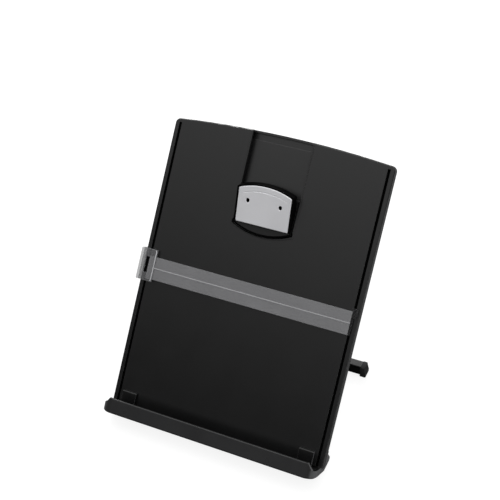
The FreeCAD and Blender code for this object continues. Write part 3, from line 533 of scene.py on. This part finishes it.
low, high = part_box("heel_strip")
heel = ribbed(low, high, HEEL_RIBS, RIB_DEPTH)
piece("heel_rubber", *heel, "stand", "rubber", "heel_strip")

low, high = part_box("foot_pads")
right_pad = ribbed((high[0] - PAD_W, low[1], low[2]), high, FOOT_RIBS, RIB_DEPTH)
left_pad = ribbed(low, (low[0] + PAD_W, high[1], high[2]), FOOT_RIBS, RIB_DEPTH)
piece("foot_rubbers", *together([left_pad, right_pad]), "rear_leg", "rubber", "foot_pads")


# Pale reading line along the strip's face
LINE_X, LINE_Y, LINE_Z = (-105.4, 112.9), (-3.56, -3.5), (149.75, 150.6)
piece("reading_line", *bar(LINE_X, LINE_Y, LINE_Z), "line_guide", "clear_plastic")

# Moulded bead down the grip's inner edge, turned in at both ends, drawn pale as a painted
# highlight
BEAD_X, BEAD_Y = -106.2, -4.0
BEAD_LOW, BEAD_HIGH = 136.4, 168.4
BEAD_R, BEAD_SIDES = 0.62, 16
BEAD_CORNER = ((-1.0, 0.0), (-0.3, 0.4), (0.0, 1.2))
bead_path = [(BEAD_X + across, BEAD_Y, BEAD_HIGH - down) for across, down in BEAD_CORNER]
bead_path += [(BEAD_X + across, BEAD_Y, BEAD_LOW + up) for across, up in reversed(BEAD_CORNER)]
bead = tube(bead_path, BEAD_R, BEAD_SIDES)
piece("grip_bead", *bead, "line_guide", "clear_plastic", finish=bead_painted_highlight)

# Painted shade: a dark sheet behind the grip's window
WINDOW_X, WINDOW_Y, WINDOW_Z = (-117.0, -112.8), (-2.2, -1.6), (143.75, 160.95)
piece("grip_window_shade", *bar(WINDOW_X, WINDOW_Y, WINDOW_Z), "line_guide", "black_plastic")


# Rubber boots over the foot bar's ends, in scene mm. Each station gives how far along the
# boot it lies, from 0 to 1, and how far the boot draws in at the sides and at the top
BAR_FRONT, BAR_BACK, BAR_TOP = 138.34, 150.74, 12.3
BOOT_SKIN = 0.5
BOOT_START, BOOT_TOP_END, BOOT_LOW_END = 107.7, 112.9, 114.6
BOOT_WALL_H = 3.5
BOOT_TOP_R, BOOT_TOP_BEVEL = 2.6, 0.8
BOOT_STATIONS = (
    (0.0, 0.5, 0.5), (0.06, 0.0, 0.0), (0.82, 0.0, 0.0), (0.94, 0.25, 0.2), (1.0, 0.9, 0.7))


def boot(side):
    """A rubber boot over one end of the foot bar, flared at the desk."""
    sections = []
    for share, shrink, lift in BOOT_STATIONS:
        x_top = BOOT_START + (BOOT_TOP_END - BOOT_START) * share
        x_low = BOOT_START + (BOOT_LOW_END - BOOT_START) * share
        y0, y1 = BAR_FRONT - BOOT_SKIN + shrink, BAR_BACK + BOOT_SKIN - shrink
        z1 = BAR_TOP + BOOT_SKIN - lift
        profile = (
            (x_low, y0, 0.0), (x_low, y1, 0.0), (x_low, y1, BOOT_WALL_H),
            (x_top, y1, z1 - BOOT_TOP_R),
            (x_top, y1 - BOOT_TOP_BEVEL, z1 - BOOT_TOP_BEVEL), (x_top, y1 - BOOT_TOP_R, z1),
            (x_top, y0 + BOOT_TOP_R, z1), (x_top, y0 + BOOT_TOP_BEVEL, z1 - BOOT_TOP_BEVEL),
            (x_top, y0, z1 - BOOT_TOP_R), (x_low, y0, BOOT_WALL_H))
        sections.append([Vector((side * x, y, z)) * MM for x, y, z in profile])
    return skinned(sections)


piece("foot_boots", *together([boot(-1), boot(1)]), "rear_leg", "rubber")


# Painted shadow: black bands round the clip's base, on its face edge and deep in the gap, and
# along the slot's bow, standing in for the shade of the gap
BASE_HALF = 31.6
BASE_LOW, BASE_SIDE = 211.7, 219.3
BOW_STEPS = 40


def base_outline(inset, top):
    """The base's face outline, drawn in by inset: up one side, round the bow, up the other."""
    sag = BASE_SIDE - BASE_LOW
    radius = (BASE_HALF ** 2 + sag ** 2) / (2 * sag)
    half = BASE_HALF - inset
    inner = radius - inset
    bow = []
    for k in range(BOW_STEPS + 1):
        x = -half + 2 * half * k / BOW_STEPS
        bow.append((x, BASE_LOW + radius - math.sqrt(inner ** 2 - x ** 2)))
    return [(-half, top)] + bow + [(half, top)]


def base_ring(outer, inner, front, back, top):
    """A flat band that follows the base's outline between two insets."""
    rings = []
    for (xo, zo), (xi, zi) in zip(base_outline(outer, top), base_outline(inner, top)):
        rings.append([(xo, back, zo), (xo, front, zo), (xi, front, zi), (xi, back, zi)])
    return skinned(rings, on_board)


gap_shadow = base_ring(outer=-1.1, inner=1.0, front=2.7, back=2.78, top=253.0)
piece("base_gap_shadow", *gap_shadow, "clip_arm", "black_plastic")
bow_shadow = base_ring(outer=-1.9, inner=-1.25, front=-0.56, back=-0.5, top=222.0)
piece("slot_bow_shadow", *bow_shadow, "stand", "black_plastic")

# Painted shade: a matte black sheet on the floors of the two guide grooves
GROOVE_SHADE_XS, GROOVE_SHADE_W = (-115.45, 112.75), 2.7
GROOVE_SHADE_Y, GROOVE_SHADE_Z = (2.88, 2.97), (1.0, 306.4)
groove_shades = [bar((x, x + GROOVE_SHADE_W), GROOVE_SHADE_Y, GROOVE_SHADE_Z) for x in GROOVE_SHADE_XS]
piece("groove_shade", *together(groove_shades), "stand", "black_plastic")

# Painted shadow: a black band along the edge of the base's face
base_edge_shadow = base_ring(outer=0.25, inner=1.3, front=-0.46, back=-0.4, top=248.0)
piece("base_edge_shadow", *base_edge_shadow, "clip_arm", "black_plastic")


# Stage: a pale floor, soft lamps and a white surround

WHITE = (1.0, 1.0, 1.0, 1.0)
FLOOR_SIZE, FLOOR_SHADE, FLOOR_ROUGH = 12.0, 0.17, 0.9
FLOOR_LIFT = 0.86
# Direction span and strength span of the light from above, and of the light from behind
ROOM_RISE = (0.28, 0.62, 0.0, 1.35)
ROOM_BACK = (0.0, 0.7, 0.0, 0.5)


def white_rays(tree):
    """1 for the rays that see the plain white background."""
    path = tree.nodes.new("ShaderNodeLightPath").outputs
    return combined(tree, "MAXIMUM", path["Is Camera Ray"], path["Is Transmission Ray"])


def floor_material():
    """Pale floor that stays white to the camera and keeps the object's shadow."""
    mat, tree, shader = new_material("floor")
    shader.inputs["Base Color"].default_value = (FLOOR_SHADE, FLOOR_SHADE, FLOOR_SHADE, 1.0)
    shader.inputs["Roughness"].default_value = FLOOR_ROUGH
    shader.inputs["Specular IOR Level"].default_value = 0.0
    shader.inputs["Emission Color"].default_value = WHITE
    lift = mapped(tree, white_rays(tree), 0.0, 1.0, 0.0, FLOOR_LIFT)
    tree.links.new(lift, shader.inputs["Emission Strength"])
    return mat


def floor_sheet():
    """A flat square under the object."""
    mesh = bpy.data.meshes.new("floor")
    half = FLOOR_SIZE / 2
    corners = [(-half, -half, 0), (half, -half, 0), (half, half, 0), (-half, half, 0)]
    mesh.from_pydata(corners, [], [(0, 1, 2, 3)])
    mesh.materials.append(floor_material())
    obj = bpy.data.objects.new("floor", mesh)
    bpy.context.scene.collection.objects.link(obj)


def aimed(obj, place, target):
    obj.location = place
    obj.rotation_mode = "QUATERNION"
    obj.rotation_quaternion = (Vector(target) - Vector(place)).to_track_quat("-Z", "Y")


def soft_lamp(name, place, target, size, power):
    lamp = bpy.data.lights.new(name, "AREA")
    lamp.shape = "RECTANGLE"
    lamp.size, lamp.size_y = size
    lamp.energy = power
    obj = bpy.data.objects.new(name, lamp)
    bpy.context.scene.collection.objects.link(obj)
    aimed(obj, place, target)


def surround():
    """A studio that is dim low down in front, bright above, and white to the camera."""
    world = bpy.data.worlds.new("surround")
    bpy.context.scene.world = world
    world.use_nodes = True
    tree = world.node_tree
    back = tree.nodes["Background"]
    back.inputs["Color"].default_value = WHITE
    way = split(tree, tree.nodes.new("ShaderNodeTexCoord").outputs["Generated"])
    above = mapped(tree, way["Z"], *ROOM_RISE, smooth=True)
    behind = mapped(tree, way["Y"], *ROOM_BACK, smooth=True)
    level = tree.nodes.new("ShaderNodeMix")
    level.inputs["B"].default_value = 1.0
    tree.links.new(white_rays(tree), level.inputs["Factor"])
    tree.links.new(combined(tree, "MAXIMUM", above, behind), level.inputs["A"])
    tree.links.new(level.outputs["Result"], back.inputs["Strength"])


floor_sheet()
surround()
soft_lamp("top_lamp", place=(-0.5, -0.3, 1.8), target=(0.0, 0.0, 0.1),
          size=(1.4, 1.0), power=10.0)
soft_lamp("right_lamp", place=(1.4, -0.5, 0.25), target=(0.0, 0.05, 0.12),
          size=(0.5, 0.6), power=3.0)
soft_lamp("back_lamp", place=(-0.5, 1.5, 0.9), target=(0.05, 0.14, 0.0),
          size=(0.9, 0.6), power=18.0)


# Camera at the photograph's angle

CAMERA_PLACE = (0.3302, -0.6742, 0.8099)
CAMERA_TARGET = (0.0235, 0.0245, 0.2307)
SENSOR_W, LENS = 36.0, 74.0
CLIP_SPAN = (0.05, 50.0)


def photo_camera():
    data = bpy.data.cameras.new("camera")
    data.sensor_width = SENSOR_W
    data.lens = LENS
    data.clip_start, data.clip_end = CLIP_SPAN
    obj = bpy.data.objects.new("camera", data)
    bpy.context.scene.collection.objects.link(obj)
    aimed(obj, CAMERA_PLACE, CAMERA_TARGET)
    bpy.context.scene.camera = obj


photo_camera()
bpy.context.scene.view_settings.view_transform = "Standard"
